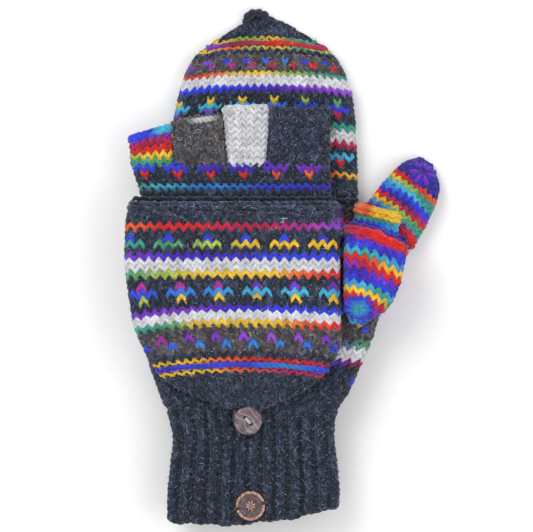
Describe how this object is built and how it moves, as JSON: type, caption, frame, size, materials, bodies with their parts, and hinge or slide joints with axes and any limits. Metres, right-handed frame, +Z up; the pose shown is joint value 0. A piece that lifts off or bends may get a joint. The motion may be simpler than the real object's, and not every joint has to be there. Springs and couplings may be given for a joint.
{
  "type": "convertible flip-top mittens",
  "caption": "Pair of knitted mittens with half-finger sleeves, flip caps over fingers and thumbs, a cap loop that hooks on a cuff button, and ribbed cuffs, lying flat one on the other.",
  "frame": {"origin": "middle of the pair's bounding box, on the table under it", "axes": "+Z up from the table, +Y towards the fingertips, +X towards the thumbs"},
  "size_m": [0.167, 0.2716, 0.0409],
  "materials": {
    "charcoal_wool": "heathered dark blue-grey wool knit, rough and slightly fuzzy",
    "brown_wool": "heathered grey-brown wool knit, rough",
    "white_wool": "undyed off-white wool knit, rough",
    "rainbow_wool": "self-striping yarn that runs through blue, purple, red, yellow and green, knitted",
    "colourwork_wool": "stranded colour work in charcoal, white, brown and rainbow yarn",
    "shell": "polished mauve-grey shell with a pearly sheen",
    "white_thread": "white sewing thread",
    "dark_thread": "black sewing thread",
    "copper": "aged copper, polished on the raised rim and dark in the sunk field"
  },
  "bodies": {
    "right_mitten": {"right_cuff": "charcoal_wool", "right_hand_lower": "colourwork_wool", "right_hand_upper": "colourwork_wool", "right_knuckle_strip": "colourwork_wool", "right_little_sleeve": "rainbow_wool", "right_ring_sleeve": "brown_wool", "right_middle_sleeve": "white_wool", "right_index_sleeve": "charcoal_wool", "right_thumb_sleeve": "rainbow_wool", "right_button_shank": "dark_thread", "right_coin_tag": "copper", "right_tag_thread": "dark_thread"},
    "right_cap": {"right_cap_back": "colourwork_wool", "right_cap_palm": "colourwork_wool", "right_cap_rim": "charcoal_wool", "right_cap_loop": "charcoal_wool"},
    "right_thumb_cap": {"right_thumb_cap_back": "rainbow_wool", "right_thumb_cap_palm": "rainbow_wool", "right_thumb_cap_rim": "rainbow_wool"},
    "right_button": {"right_button": "shell", "right_button_thread": "white_thread"},
    "left_mitten": {"left_cuff": "charcoal_wool", "left_hand_lower": "colourwork_wool", "left_hand_upper": "colourwork_wool", "left_knuckle_strip": "colourwork_wool", "left_little_sleeve": "rainbow_wool", "left_ring_sleeve": "brown_wool", "left_middle_sleeve": "white_wool", "left_index_sleeve": "charcoal_wool", "left_thumb_sleeve": "rainbow_wool", "left_button_shank": "dark_thread", "left_coin_tag": "copper", "left_tag_thread": "dark_thread"},
    "left_cap": {"left_cap_back": "colourwork_wool", "left_cap_palm": "colourwork_wool", "left_cap_rim": "charcoal_wool", "left_cap_loop": "charcoal_wool"},
    "left_thumb_cap": {"left_thumb_cap_back": "rainbow_wool", "left_thumb_cap_palm": "rainbow_wool", "left_thumb_cap_rim": "rainbow_wool"},
    "left_button": {"left_button": "shell", "left_button_thread": "white_thread"}
  },
  "joints": [
    {"name": "left_mitten_lift", "type": "slide", "parent": "right_mitten", "child": "left_mitten", "axis": [0, 0, 1], "range_m": [0, 0.06]},
    {"name": "left_cap_flip", "type": "hinge", "parent": "left_mitten", "child": "left_cap", "pos_m": [-0.02472, 0.03403, 0.0273], "axis": [-1, 0, 0], "range_deg": [0, 180], "deforming": ["left_cap_palm", "left_cap_rim", "left_cap_loop"]},
    {"name": "left_thumb_cap_flip", "type": "hinge", "parent": "left_mitten", "child": "left_thumb_cap", "pos_m": [0.04888, 0.01703, 0.0273], "axis": [-0.9903, 0.1392, 0], "range_deg": [0, 180], "deforming": ["left_thumb_cap_palm", "left_thumb_cap_rim"]},
    {"name": "left_button_turn", "type": "hinge", "parent": "left_mitten", "child": "left_button", "pos_m": [-0.01832, -0.08097, 0.0306], "axis": [0, 0, 1], "range_deg": [-45, 45]},
    {"name": "right_cap_flip", "type": "hinge", "parent": "right_mitten", "child": "right_cap", "pos_m": [-0.01072, 0.03153, -0.0002], "axis": [-1, 0, 0], "range_deg": [0, 180], "deforming": ["right_cap_palm", "right_cap_rim"]},
    {"name": "right_thumb_cap_flip", "type": "hinge", "parent": "right_mitten", "child": "right_thumb_cap", "pos_m": [0.05668, 0.02243, -0.0002], "axis": [-0.848, 0.5299, 0], "range_deg": [0, 180], "deforming": ["right_thumb_cap_back", "right_thumb_cap_palm", "right_thumb_cap_rim"]},
    {"name": "right_button_turn", "type": "hinge", "parent": "right_mitten", "child": "right_button", "pos_m": [-0.01832, -0.08097, 0.0032], "axis": [0, 0, 1], "range_deg": [-45, 45]}
  ]
}
